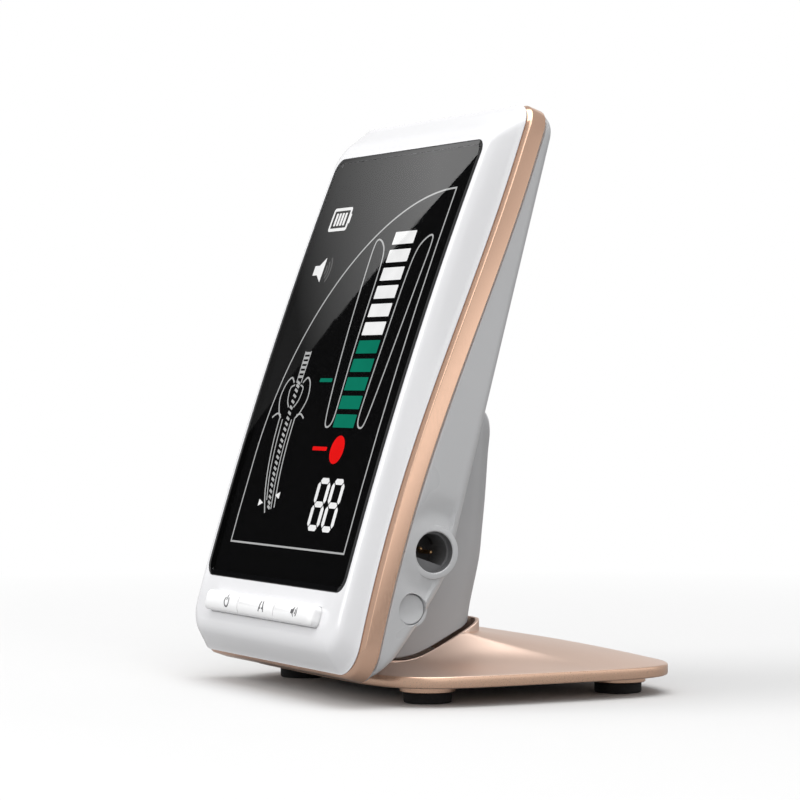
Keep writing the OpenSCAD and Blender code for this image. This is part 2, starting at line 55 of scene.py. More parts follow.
# ---- Driving dimensions ----
# W, H and R are a width, a height and corner radii, V and U are where the middle lies in the head's own axes
HEAD_W, HEAD_H, HEAD_V, HEAD_R = 84.0, 131.5, -3.25, (5.4, 5.4, 7.2, 7.2)
FACE_W, FACE_H, FACE_V, FACE_R = 77.4, 118.5, -4.75, (4.0, 4.0, 5.2, 5.2)
WIN_W, WIN_H, WIN_R = 74.0, 104.0, 3.5
BOW_R, BOW_V, BOW_U = 966.0, -5.0, 1.443  # bow of the face: its radius, and where and how far it stands out
SEAT = 1.9  # depth of the window seat below the face
SHOULDER_T, SHOULDER_IN = 0.28, 1.2  # share of the flank and width of the face that the soft shoulder takes
TRIM_D, TRIM_U = 4.7, 3.2  # depth of the gold band, and its least distance behind the glass
BACK_FILLET, CROWN = 2.6, 2.2
KEY_V, KEY_H, KEY_BAR, KEY_RISE = -58.0, 4.6, 58.6, 2.4
ICON_SHIFT = (3.6, 3.2, 0.9)  # how far each key's icon stands right of the key's middle
SOCKET_U, SOCKET_V, SOCKET_R, SOCKET_X = 15.8, -37.5, 4.45, 41.0
PORT_U, PORT_V, PORT_R = 15.0, -50.7, 3.4
SCREW_SPOTS = [(30, 55), (-30, 55), (34.5, -61.2), (-34.5, -61.2)]
PIXEL_DEPTH, PIXEL_T = 1.0, 0.05  # the lit picture's distance behind the glass, and its thickness
NECK_W, NECK_R = 46.0, 6.0
NECK_BACK = [(-6.9, 17.2), (-6.25, 20.8), (-4.1, 30), (-3.3, 36.7), (-2.5, 44.4), (-1.8, 53.6), (-1.3, 58.7),
             (-1.9, 62.2), (-4.4, 65.0), (-9, 66.4), (-15, 66.5)]
COVER_HALF, COVER_LOW, COVER_TOP = 20.0, 37.2, 60.0  # battery cover: half width, lower and upper edge
BASE_A, BASE_B, BASE_Y, BASE_N = 46.5, 37.8, -0.9, 5  # half width, half depth, middle and squareness
BASE_LOW, BASE_TOP, COVER_SEAT = 4.15, 6.8, 1.25
POCKET_A, POCKET_B, POCKET_Y, POCKET_Z, POCKET_N = 23.8, 13.7, -19.1, 8.2, 7
LIP, LIP_TOP, SLOPE_TOP = 0.7, 17.0, 14.2
FOOT_R = 5.3
FEET_Y = 7.33  # the spot midway between the feet lies this far behind the frame's origin


# ---- The head's own axes ----
IN = Vector(next(j for j in frame["joints"] if j["name"] == "set_key_press")["axis"])
UP = Vector((0, -IN.z, IN.y))
RIGHT = Vector((1, 0, 0))


def extent(node, axis):
    """Least and greatest distance of a CAD node's points along an axis, in mm."""
    reach = [v.co.dot(axis) / MM for v in frame["nodes"][node].data.vertices]
    return min(reach), max(reach)


GLASS_U, GLASS_V = extent("display_window", IN)[0] + BOW_U, sum(extent("display_window", UP)) / 2
ORIGIN = (IN * GLASS_U + UP * GLASS_V) * MM


def head(x, u, v):
    return ORIGIN + (RIGHT * x + IN * u + UP * v) * MM


def place(x, y, z):
    """Point given from the spot midway between the feet."""
    return Vector((x, y + FEET_Y, z)) * MM


# ---- Curves ----
def clamp(t, low=0.0, high=1.0):
    return max(low, min(high, t))


def soft_step(t):
    t = clamp(t)
    return t * t * (3 - 2 * t)


def face_u(v):
    return -BOW_U + (v - BOW_V) ** 2 / (2 * BOW_R)


def trim_u(v):
    if v > -25:
        return TRIM_U + 3 * soft_step((v + 25) / 75)
    return TRIM_U + (v + 25) ** 2 / 700


def back_u(v):
    """The back slopes down to v = -40, then curves in to v = -68."""
    if v > -40:
        return 14.6 + (50 - v) * 0.0756
    return 21.4 - 9 * ((-40 - v) / 28) ** 1.3 if v > -68 else 12.4


def less(radii, d):
    return tuple(max(0.1, r - d) for r in radii)


def outline(w, h, radii, cv=0.0, arc=10, wide=10, tall=64):
    """Rounded rectangle as (x, v) points, the same number for any size. radii may be given per corner."""
    if not isinstance(radii, (tuple, list)):
        radii = (radii,) * 4
    arcs = []
    for (sx, sv, start), r in zip(((1, 1, 0), (-1, 1, 90), (-1, -1, 180), (1, -1, 270)), radii):
        cx, cy = sx * (w / 2 - r), cv + sv * (h / 2 - r)
        turns = [math.radians(start + 90 * k / arc) for k in range(arc + 1)]
        arcs.append([(cx + r * math.cos(a), cy + r * math.sin(a)) for a in turns])
    points = []
    for i, corner in enumerate(arcs):
        (x0, v0), (x1, v1) = corner[-1], arcs[(i + 1) % 4][0]
        steps = wide if i % 2 == 0 else tall
        points += corner + [(x0 + (x1 - x0) * k / steps, v0 + (v1 - v0) * k / steps) for k in range(1, steps)]
    return points


def super_point(a, b, n, cy, angle):
    """Point at a polar angle on a rounded outline with bowed sides."""
    c, s = math.cos(angle), math.sin(angle)
    r = ((abs(c) / a) ** n + (abs(s) / b) ** n) ** (-1 / n)
    return r * c, cy + r * s


# ---- Mesh building ----
def add(name, data):
    """New object in the scene."""
    obj = bpy.data.objects.new(name, data)
    bpy.context.scene.collection.objects.link(obj)
    return obj


def mark_sharp(bm, sharp):
    """Smooth shading, except across edges that bend more than sharp degrees."""
    for f in bm.faces:
        f.smooth = True
    for e in bm.edges:
        e.smooth = not (len(e.link_faces) == 2 and e.calc_face_angle(0) > math.radians(sharp))


def finish_mesh(name, bm, sharp=35.0):
    bmesh.ops.remove_doubles(bm, verts=bm.verts, dist=1e-7)
    bmesh.ops.recalc_face_normals(bm, faces=bm.faces)
    mark_sharp(bm, sharp)
    mesh = bpy.data.meshes.new(name)
    bm.to_mesh(mesh)
    bm.free()
    return add(name, mesh)


def loft(name, rings, join=False, sharp=35.0):
    """Skin over closed rings of points. Its two ends are capped, or joined to each other."""
    bm = bmesh.new()
    rows = [[bm.verts.new(p) for p in ring] for ring in rings]
    n = len(rows[0])
    pairs = list(zip(rows, rows[1:]))
    if join:
        pairs.append((rows[-1], rows[0]))
    for a, b in pairs:
        for i in range(n):
            j = (i + 1) % n
            bm.faces.new((a[i], a[j], b[j], b[i]))
    if not join:
        bm.faces.new(rows[0][::-1])
        bm.faces.new(rows[-1])
    return finish_mesh(name, bm, sharp)


def fan_rings(rim, centre, depth, shares):
    """Rings that shrink from a rim towards the middle, following a depth."""
    rings = []
    for k in shares:
        spots = [(x * k, centre + (v - centre) * k) for x, v in rim]
        rings.append([head(x, depth(x, v), v) for x, v in spots])
    return rings


def boolean(target, cutter, operation):
    """Applies a boolean to target and removes the cutter."""
    mod = target.modifiers.new("cut", "BOOLEAN")
    mod.object = cutter
    mod.operation = operation
    mod.solver = "EXACT"
    bpy.context.view_layer.update()
    graph = bpy.context.evaluated_depsgraph_get()
    mesh = bpy.data.meshes.new_from_object(target.evaluated_get(graph))
    target.modifiers.clear()
    old = target.data
    target.data = mesh
    bpy.data.meshes.remove(old)
    bpy.data.objects.remove(cutter)


def resharpen(obj, sharp):
    """Marks the sharp edges again after booleans."""
    bm = bmesh.new()
    bm.from_mesh(obj.data)
    bmesh.ops.dissolve_degenerate(bm, edges=bm.edges, dist=1e-7)
    mark_sharp(bm, sharp)
    bm.to_mesh(obj.data)
    bm.free()


def weigh(obj):
    """Lets large faces set the shading at their edges."""
    mod = obj.modifiers.new("weighted shading", "WEIGHTED_NORMAL")
    mod.keep_sharp = True
    mod.weight = 80


def turned(name, profile, to_world, steps=64):
    """Solid of revolution: profile is (radius, along) pairs, closed at both ends on the axis."""
    turns = [2 * math.pi * i / steps for i in range(steps)]
    rings = []
    for r, along in profile:
        r = max(r, 1e-4)
        rings.append([to_world(r * math.cos(a), r * math.sin(a), along) for a in turns])
    return loft(name, rings)


def side_axis(u, v):
    """Turned shapes whose axis points out of the head's right side."""
    return lambda a, b, x: head(x, u + a, v + b)


def back_axis(x, v):
    """Turned shapes whose axis points straight back through the head."""
    return lambda a, b, u: head(x + a, u, v + b)


def prism(name, points, to_world, low, high):
    """Straight-sided solid over a closed 2D outline."""
    return loft(name, [[to_world(a, b, level) for a, b in points] for level in (low, high)])


# ---- Node-based materials ----
class Mat:
    """Small helper around the node tree of one material, or of the world."""

    def __init__(self, name, world=False):
        self.mat = (bpy.data.worlds if world else bpy.data.materials).new(name)
        self.mat.use_nodes = True
        self.tree = self.mat.node_tree
        self.tree.nodes.clear()
        self.out = self.node("ShaderNodeOutputWorld" if world else "ShaderNodeOutputMaterial")
        self.coord = self.node("ShaderNodeTexCoord").outputs["Object"]

    def node(self, kind, **values):
        """New node. A value goes to the input of that name, underscores read as spaces, or to a setting."""
        node = self.tree.nodes.new(kind)
        for key, value in values.items():
            socket = node.inputs.get(key.replace("_", " "))
            if socket:
                self.put(socket, value)
            else:
                setattr(node, key, value)
        return node

    def put(self, socket, value):
        if isinstance(value, bpy.types.NodeSocket):
            self.tree.links.new(value, socket)
        else:
            socket.default_value = value

    def feed(self, node, *values):
        """Values for a node's first inputs."""
        for socket, value in zip(node.inputs, values):
            self.put(socket, value)
        return node

    def noise(self, size, detail=2.0, stretch=(1, 1, 1), rough=0.5):
        """Noise whose features are about size mm across, stretched along the axes."""
        mapping = self.node("ShaderNodeMapping", Vector=self.coord, Scale=[1 / s for s in stretch])
        tex = self.node("ShaderNodeTexNoise", Scale=1 / (size * MM), Detail=detail, Roughness=rough)
        return self.feed(tex, mapping.outputs[0]).outputs["Fac"]

    def cells(self, size):
        tex = self.node("ShaderNodeTexVoronoi", Vector=self.coord, Scale=1 / (size * MM))
        return tex.outputs["Distance"]

    def math(self, operation, a, b):
        return self.feed(self.node("ShaderNodeMath", operation=operation), a, b).outputs[0]

    def dot(self, a, b):
        return self.feed(self.node("ShaderNodeVectorMath", operation="DOT_PRODUCT"), a, b).outputs["Value"]

    def blend(self, fac, a, b):
        """Mix of two shaders."""
        return self.feed(self.node("ShaderNodeMixShader"), fac, a.outputs[0], b.outputs[0])

    def spread(self, fac, low, high, out_low=0.0, out_high=1.0):
        node = self.node("ShaderNodeMapRange", clamp=True)
        return self.feed(node, fac, low, high, out_low, out_high).outputs[0]

    def mix(self, fac, a, b):
        node = self.node("ShaderNodeMix", data_type="RGBA")
        self.put(node.inputs["Factor"], fac)
        self.put(node.inputs["A"], a)
        self.put(node.inputs["B"], b)
        return node.outputs["Result"]

    def bump(self, height, strength, distance, **normal):
        return self.node("ShaderNodeBump", Height=height, Strength=strength, Distance=distance * MM,
                         **normal).outputs[0]

    def edges(self, radius=0.5):
        """1 on raised or sunk edges, 0 on flats."""
        round_normal = self.node("ShaderNodeBevel", samples=4, Radius=radius * MM).outputs[0]
        flat = self.node("ShaderNodeNewGeometry").outputs["Normal"]
        return self.spread(self.dot(round_normal, flat), 0.95, 0.8)

    def surface(self, shader):
        self.put(self.out.inputs["Surface"], shader.outputs[0])
        return self.mat

    def principled(self, base, roughness, normal, **values):
        return self.surface(self.node("ShaderNodeBsdfPrincipled", Base_Color=base, Roughness=roughness,
                                      Normal=normal, **values))


def rgb(r, g, b):
    return (r, g, b, 1.0)


def shade(colour, k):
    return rgb(*(clamp(c * k) for c in colour[:3]))


def plastic(name, colour, rough, coat=0.0):
    """Moulded plastic: fine moulding texture, faint colour drift, and slightly polished edges made paler both
    by wear and by a painted edge highlight.
    """
    m = Mat(name)
    drift = m.noise(28, 3)
    base = m.mix(m.spread(drift, 0.3, 0.7), shade(colour, 0.985), shade(colour, 1.01))
    # Edges: paler and a little less rough, from wear and from a painted edge highlight
    edge_wear_and_highlight = m.math("MULTIPLY", m.edges(), m.spread(m.noise(3.5, 4), 0.35, 0.7, 0.1, 0.6))
    base = m.mix(edge_wear_and_highlight, base, shade(colour, 1.06))
    smudge = m.spread(m.noise(20, 3), 0.3, 0.7, -0.012, 0.018)
    roughness = m.math("ADD", m.math("SUBTRACT", rough, m.math("MULTIPLY", edge_wear_and_highlight, 0.06)), smudge)
    texture = m.bump(m.noise(0.25, 2), 0.25, 0.004)
    texture = m.bump(m.noise(14, 1), 0.04, 0.05, Normal=texture)
    return m.principled(base, roughness, texture, IOR=1.49, Coat_Weight=coat, Coat_Roughness=0.08)


def metal(name, colour, rough, grain, depth, brush=(1, 1, 1)):
    """Anodised or plated metal: fine grain or brush marks, small roughness drift, and edges made brighter
    both by rubbing and by a painted edge highlight.
    """
    m = Mat(name)
    drift = m.spread(m.noise(22, 3), 0.3, 0.7)
    base = m.mix(drift, shade(colour, 0.975), shade(colour, 1.04))
    # Edges: brighter from rubbing and from a painted edge highlight
    edge_rub_and_highlight = m.math("MULTIPLY", m.edges(), m.spread(m.noise(2.5, 4), 0.35, 0.65, 0.15, 0.8))
    base = m.mix(edge_rub_and_highlight, base, shade(colour, 1.15))
    fine = m.noise(grain, 3, brush)
    roughness = m.math("ADD", rough, m.spread(fine, 0.3, 0.7, -0.04, 0.05))
    return m.principled(base, roughness, m.bump(fine, 0.3, depth), Metallic=1.0)


def rubber(name, colour):
    """Matte rubber with a little dust in its pores."""
    m = Mat(name)
    dust = m.spread(m.noise(1.6, 5, rough=0.65), 0.45, 0.8, 0.0, 0.5)
    base = m.mix(dust, colour, shade([c + 0.02 for c in colour[:3]], 1.6))
    return m.principled(base, m.spread(dust, 0, 1, 0.75, 0.9), m.bump(m.noise(0.18, 3), 0.5, 0.02))


def clear_glass(name, backing=None):
    """Hard-coated window: clear, or dark where there is print behind it, with a mirror-like front."""
    m = Mat(name)
    smear = m.spread(m.noise(14, 4, rough=0.6), 0.42, 0.8, 0.0, 0.02)
    gloss = m.node("ShaderNodeBsdfGlossy", Roughness=m.math("ADD", smear, 0.008))
    fresnel = m.node("ShaderNodeFresnel", IOR=1.52)
    front = m.math("SUBTRACT", 1.0, m.node("ShaderNodeNewGeometry").outputs["Backfacing"])
    under = m.node("ShaderNodeBsdfTransparent")
    if backing:
        under = m.node("ShaderNodeBsdfDiffuse", Color=m.mix(smear, backing, shade(backing, 1.5)))
    return m.surface(m.blend(m.math("MULTIPLY", fresnel.outputs[0], front), under, gloss))


def dark_layer(name, colour, rough):
    """Display cell behind the window: near black, with a very fine cell structure."""
    m = Mat(name)
    cell = m.spread(m.cells(0.35), 0.0, 0.5, 0.9, 1.1)
    base = m.mix(m.spread(cell, 0.9, 1.1), shade(colour, 0.85), shade(colour, 1.2))
    bsdf = m.node("ShaderNodeBsdfPrincipled", Base_Color=base, Roughness=rough, Specular_IOR_Level=0.0)
    return m.surface(bsdf)


def lit(name, colour, strength):
    """Lit display segment, slightly uneven like a backlit cell."""
    m = Mat(name)
    uneven = m.spread(m.noise(5, 2), 0.3, 0.7, 0.94 * strength, 1.04 * strength)
    cell = m.mix(m.spread(m.cells(0.3), 0, 0.4), shade(colour, 0.97), colour)
    return m.surface(m.node("ShaderNodeEmission", Strength=uneven, Color=cell))


WHITE = plastic("white housing plastic", rgb(0.80, 0.80, 0.815), 0.20, coat=0.25)
# Painted highlight: the keys are paler than the housing white to stand in for the brighter light on their
# rounded tops
KEY_WHITE_PAINTED_HIGHLIGHT = plastic("white key plastic with painted highlight", rgb(0.95, 0.95, 0.955), 0.34)
GREY = plastic("grey housing plastic", rgb(0.60, 0.605, 0.615), 0.28, coat=0.12)
# Painted shade: the neck is the rear housing's grey plastic, darkened to stand in for the shade it lies in
NECK_GREY_PAINTED_SHADE = plastic("neck grey with painted shade", rgb(0.455, 0.46, 0.47), 0.30, coat=0.1)
DARK_PLASTIC = plastic("dark moulded plastic", rgb(0.045, 0.043, 0.042), 0.38)
COVER_DARK = plastic("underside plastic", rgb(0.06, 0.06, 0.063), 0.5)
MEMBRANE = rubber("key membrane rubber", rgb(0.06, 0.06, 0.065))
RUBBER = rubber("foot rubber", rgb(0.006, 0.006, 0.0065))
SEAL = rubber("seal foam", rgb(0.01, 0.01, 0.011))
GOLD = metal("polished gold band", rgb(0.88, 0.575, 0.42), 0.2, 0.35, 0.0012, (1, 1, 6))
BASE_GOLD = metal("satin champagne base", rgb(0.795, 0.605, 0.505), 0.40, 0.10, 0.004)
EDGE_GOLD = metal("polished gold edge", rgb(0.86, 0.575, 0.42), 0.3, 0.2, 0.002)
STEEL = metal("plain steel", rgb(0.56, 0.57, 0.58), 0.30, 0.3, 0.002, (1, 8, 1))
CONTACT = metal("gold contact", rgb(0.72, 0.44, 0.22), 0.3, 0.1, 0.001)
# Painted shade: the housing grey darkened for the inside of the socket mouth
MOUTH_PAINTED_SHADE = plastic("socket mouth painted shade", rgb(0.17, 0.17, 0.175), 0.4)
BOARD = plastic("circuit board", rgb(0.02, 0.13, 0.06), 0.35)
FLEX = plastic("amber flex", rgb(0.42, 0.17, 0.02), 0.35)
CELL = plastic("battery wrap", rgb(0.04, 0.09, 0.24), 0.35)
WIRE = plastic("red wire", rgb(0.45, 0.02, 0.015), 0.4)
DIFFUSER = plastic("white diffuser", rgb(0.8, 0.8, 0.74), 0.6)
ICON = plastic("icon print", rgb(0.10, 0.10, 0.105), 0.5)
GLASS = clear_glass("display glass")
PRINT_BLACK = clear_glass("black print under the glass edge", rgb(0.004, 0.004, 0.0045))
LCD_BLACK = dark_layer("display cell", rgb(0.0028, 0.0028, 0.003), 0.8)
SEG_WHITE = lit("white segments", rgb(1.0, 1.0, 1.0), 1.0)
SEG_LINE = lit("fine white lines", rgb(0.92, 0.93, 0.93), 0.55)
SEG_DIM = lit("dim segments", rgb(0.8, 0.8, 0.8), 0.10)
SEG_TEAL = lit("teal segments", rgb(0.004, 0.21, 0.13), 1.0)
SEG_RED = lit("red segments", rgb(1.0, 0.01, 0.01), 0.95)


def dress(obj, material, body, slot, *nodes):
    """Gives a piece its material and the body it rides on, and hides the CAD nodes it stands for. The slot
    argument is not used.
    """
    obj.data.materials.clear()
    obj.data.materials.append(material)
    if nodes:
        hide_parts(*nodes)
    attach(obj, body)
    return obj


# ---- Head shells ----
def head_ring(w, h, r, depth, cv=HEAD_V):
    return [head(x, depth(v), v) for x, v in outline(w, h, r, cv)]


def front_housing():
    """White bezel: a bowed face round the window, a soft shoulder, and flanks back to the gold band."""
    def face(d):
        return lambda v: face_u(v) + d

    def trim(d):
        return lambda v: trim_u(v) + d

    rings = [head_ring(WIN_W + 2 * gap, WIN_H + 2 * gap, WIN_R + gap, face(d), 0)
             for gap, d in ((0.1, SEAT), (0.1, 0.16), (0.15, 0.04), (0.3, 0.0))]
    # Shoulder: a soft curve from the face into the flank, which runs straight to the band
    inset = 0.45
    rim_w, rim_h = HEAD_W - 2 * inset, HEAD_H - 2 * inset

    def flank(t):
        k = t ** 0.92
        return FACE_W + (rim_w - FACE_W) * k, FACE_H + (rim_h - FACE_H) * k, FACE_V + (HEAD_V - FACE_V) * k

    def flank_ring(w, h, cv, t, drop):
        r = tuple(a + (b - inset - a) * t for a, b in zip(FACE_R, HEAD_R))
        return head_ring(w, h, r, lambda v: face_u(v) + (trim_u(v) - 0.1 - face_u(v)) * drop, cv)

    meet = flank(SHOULDER_T)
    for s in (0.0, 0.12, 0.25, 0.4, 0.55, 0.7, 0.85, 1.0):
        inner, mid, outer = (1 - s) ** 2, 2 * s * (1 - s), s * s
        w = inner * (FACE_W - 2 * SHOULDER_IN) + mid * FACE_W + outer * meet[0]
        h = inner * (FACE_H - 4 * SHOULDER_IN) + mid * FACE_H + outer * meet[1]
        t = SHOULDER_T * outer
        rings.append(flank_ring(w, h, FACE_V * (1 - outer) + meet[2] * outer, t, t))
    rings += [flank_ring(*flank(t), t, t) for t in (0.42, 0.6, 0.78, 0.94)]
    rings += [head_ring(HEAD_W - 2 * d, HEAD_H - 2 * d, less(HEAD_R, d), trim(drop))
              for d, drop in ((inset, -0.25), (0.5, -0.05), (0.75, 0.0), (3, 0.0))]
    rings.append(head_ring(HEAD_W - 7.5, HEAD_H - 12, 3.0, face(SEAT)))
    shell = loft("front_bezel", rings, join=True, sharp=40)
    slot = prism("slot_cutter", outline(KEY_BAR + 0.14, KEY_H + 0.2, 1.2, KEY_V, 6, 4, 4),
                 back_axis(0, 0), -4, 4)
    boolean(shell, slot, "DIFFERENCE")
    resharpen(shell, 40)
    dress(shell, WHITE, "head", "shell_white", "front_housing")


def trim_band():
    """Gold band between the housings: chamfered front edge, flat side, thin dark joint behind."""
    def at(inset, d):
        return head_ring(HEAD_W - 2 * inset, HEAD_H - 2 * inset, less(HEAD_R, inset), lambda v: trim_u(v) + d)

    rings = [at(2.4, 0.12), at(0.8, 0.12), at(0.66, 0.16), at(0.1, 0.98), at(0.02, 1.12), at(0, 1.25),
             at(0, TRIM_D - 0.35), at(0.06, TRIM_D - 0.1), at(0.25, TRIM_D), at(2.4, TRIM_D)]
    dress(loft("gold_band", rings, join=True, sharp=50), GOLD, "head", "trim_gold", "trim_band")


def side_inset(u):
    """The rear housing's sides lean in towards the back."""
    return 0.35 + max(0.0, u - 9) * 0.14


def scoop(u, v):
    """Shallow hollows above and below the measuring socket, concentric with it."""
    d = math.hypot(u - SOCKET_U, v - SOCKET_V)
    upright = (abs(v - SOCKET_V) / max(d, 0.1)) ** 2
    side = 1.0 if v > SOCKET_V else 0.85
    return side * upright * math.exp(-((d - 8.3) / 1.8) ** 2)


def rear_housing():
    """Grey back shell: leaning sides, rounded rear edge, gently crowned back, socket barrel on the right."""
    base = outline(HEAD_W, HEAD_H, HEAD_R, HEAD_V)
    n = len(base)
    normals = []
    for i in range(n):
        (x0, v0), (x1, v1) = base[i - 1], base[(i + 1) % n]
        normals.append(unit(v1 - v0, x0 - x1))

    def ring(share, round_angle=None, inset=None, depth=None):
        points = []
        for (x, v), (nx, nv) in zip(base, normals):
            start, end = trim_u(v) + TRIM_D + 0.55, back_u(v) - BACK_FILLET
            u = start + (end - start) * share if depth is None else trim_u(v) + TRIM_D + depth
            off = side_inset(u) if inset is None else inset
            if round_angle is not None:
                off = side_inset(end) + BACK_FILLET * (1 - math.cos(round_angle))
                u = end + BACK_FILLET * math.sin(round_angle)
            elif x > 30 and inset is None:
                off += scoop(u, v)
            points.append(head(x - nx * off, u, v - nv * off))
        return points

    corner = side_inset(back_u(0)) + BACK_FILLET

    def rim(extra):
        off = corner + extra
        return [(x - nx * off, v - nv * off) for (x, v), (nx, nv) in zip(base, normals)]

    def depth(x, v):
        k = max(abs(x) / (HEAD_W / 2 - corner), abs(v - HEAD_V) / (HEAD_H / 2 - corner))
        return back_u(v) + CROWN * soft_step(1 - k)

    shares = (0.97, 0.92, 0.86, 0.78, 0.68, 0.56, 0.42, 0.26, 0.1)
    rings = fan_rings(rim(1.1), HEAD_V, lambda x, v: back_u(v) - 2.0, shares[::-1])
    rings += [ring(0, inset=4.6, depth=2.0), ring(0, inset=2.6, depth=0.1), ring(0, inset=1.0, depth=0.1),
              ring(0, inset=0.95, depth=0.45), ring(0, inset=0.5, depth=0.5), ring(0.02)]
    rings += [ring(k / 20) for k in range(1, 21)]
    rings += [ring(1, round_angle=math.radians(a)) for a in (12, 25, 38, 52, 66, 80, 90)]
    rings += fan_rings(rim(0), HEAD_V, depth, shares)
    shell = loft("rear_shell", rings, sharp=40)

    # Socket barrel with a round mouth, a keyed opening behind it, and the recess of the charging port
    socket, port = side_axis(SOCKET_U, SOCKET_V), side_axis(PORT_U, PORT_V)
    barrel = [(0, 33), (5.9, 33), (5.9, SOCKET_X - 0.5), (5.75, SOCKET_X - 0.15), (5.4, SOCKET_X),
              (0, SOCKET_X)]
    boolean(shell, turned("barrel", barrel, socket), "UNION")
    collar = [(0, 35.5), (PORT_R + 0.7, 35.5), (PORT_R + 0.7, 39.4), (0, 39.4)]
    boolean(shell, turned("collar", collar, port), "UNION")
    for x, v in SCREW_SPOTS:
        post = [(0, 9.6), (3.1, 9.6), (3.1, back_u(v) - 0.6), (0, back_u(v) - 0.6)]
        boolean(shell, turned("post", post, back_axis(x, v), 32), "UNION")
    mouth = [(0, SOCKET_X - 2.0), (SOCKET_R - 0.02, SOCKET_X - 2.0), (SOCKET_R, SOCKET_X - 0.2),
             (SOCKET_R + 0.3, SOCKET_X + 0.1), (SOCKET_R + 0.3, 45), (0, 45)]
    boolean(shell, turned("mouth", mouth, socket), "DIFFERENCE")
    boolean(shell, prism("keyed", keyed_outline(SOCKET_R - 0.5, -2.1), socket, 25, 45), "DIFFERENCE")
    recess = [(0, 30), (PORT_R, 30), (PORT_R, 40.3), (PORT_R + 0.3, 40.8), (PORT_R + 0.3, 45), (0, 45)]
    boolean(shell, turned("recess", recess, port), "DIFFERENCE")
    for x, v in SCREW_SPOTS:
        hole = [(0, 5), (2.0, 5), (2.0, 40), (0, 40)]
        boolean(shell, turned("screw_hole", hole, back_axis(x, v), 32), "DIFFERENCE")
    resharpen(shell, 38)
    dress(shell, GREY, "head", "shell_grey", "rear_housing")
    # Painted shade: the inside of the mouth lies in shade and is given a darker grey
    shell.data.materials.append(MOUTH_PAINTED_SHADE)
    middle = head(0, SOCKET_U, SOCKET_V)
    for f in shell.data.polygons:
        reach = f.center - middle
        off = math.hypot(reach.dot(IN), reach.dot(UP)) / MM
        if off < SOCKET_R + 0.1 and 28 < reach.x / MM < SOCKET_X - 0.15:
            f.material_index = 1


def keyed_outline(r, flat):
    """Circle with its lower part cut off straight."""
    start = math.asin(flat / r)
    turns = [start + (math.pi - 2 * start) * i / 48 for i in range(49)]
    return [(r * math.cos(a), r * math.sin(a)) for a in turns]


def socket_parts():
    """Dark keyed well behind the socket's mouth, its two contacts, and the cap of the charging port."""
    x_back = SOCKET_X - 2.05
    outer = keyed_outline(SOCKET_R + 0.1, -2.6)
    inner = keyed_outline(SOCKET_R - 0.45, -2.1)
    rings = [[head(x_back + dx, SOCKET_U + a, SOCKET_V + b) for a, b in points]
             for points, dx in ((inner, -7.5), (inner, 0), (outer, 0), (outer, -9))]
    well = loft("socket_well", rings)
    dress(well, DARK_PLASTIC, "head", "part_black", "socket_core")
    profile = [(0, 29), (0.48, 29), (0.48, 36.4), (0.38, 36.75), (0.2, 36.95), (0, 37.0)]
    for name, du, nodes in (("front", -1.3, ["contact_pins"]), ("back", 1.3, [])):
        pin = turned("contact_" + name, profile, side_axis(SOCKET_U + du, SOCKET_V + 0.2), 24)
        dress(pin, CONTACT, "head", "contact_gold", *nodes)
    face = SOCKET_X - 1.5
    profile = [(0, 36.5), (1.6, 36.5), (1.6, 37.2), (PORT_R - 0.12, 37.2), (PORT_R - 0.12, face - 0.3),
               (PORT_R - 0.2, face - 0.08), (PORT_R - 0.4, face), (PORT_R * 0.75, face - 0.16),
               (PORT_R * 0.5, face - 0.32), (PORT_R * 0.25, face - 0.4), (0, face - 0.42)]
    cap = turned("charging_cap", profile, side_axis(PORT_U, PORT_V))
    dress(cap, GREY, "port_cap_body", "shell_grey", "port_cap")


# ---- Display ----
def display():
    def pane(name, front, thick, inset, material, slot, *nodes):
        def edge(d):
            return outline(WIN_W - 2 * (inset + d), WIN_H - 2 * (inset + d), WIN_R - inset / 2 - d)

        back = front + thick
        print_edge = edge(1.2)
        shares = (0.98, 0.92, 0.84, 0.76, 0.68, 0.6, 0.52, 0.44, 0.36, 0.28, 0.2, 0.12, 0.04)
        rings = fan_rings(print_edge, 0, lambda x, v: face_u(v) + front, shares[::-1])
        steps = ((1.2, front), (0.2, front), (0, front + 0.03), (0, back), (1.2, back))
        rings += [[head(x, face_u(v) + depth, v) for x, v in edge(d)] for d, depth in steps]
        rings += fan_rings(print_edge, 0, lambda x, v: face_u(v) + back, shares)
        return dress(loft(name, rings), material, "head", slot, *nodes)

    glass = pane("window_glass", 0.0, 0.9, 0.0, GLASS, "window_black", "display_window")
    glass.data.materials.append(PRINT_BLACK)
    border = 1.25
    for f in glass.data.polygons:
        c = (f.center - ORIGIN) / MM
        if abs(c.x) > WIN_W / 2 - border or abs(c.dot(UP)) > WIN_H / 2 - border:
            f.material_index = 1
    pane("display_cell", PIXEL_DEPTH + 0.12, 0.6, 0.35, LCD_BLACK, "lcd_dark", "lcd_panel")


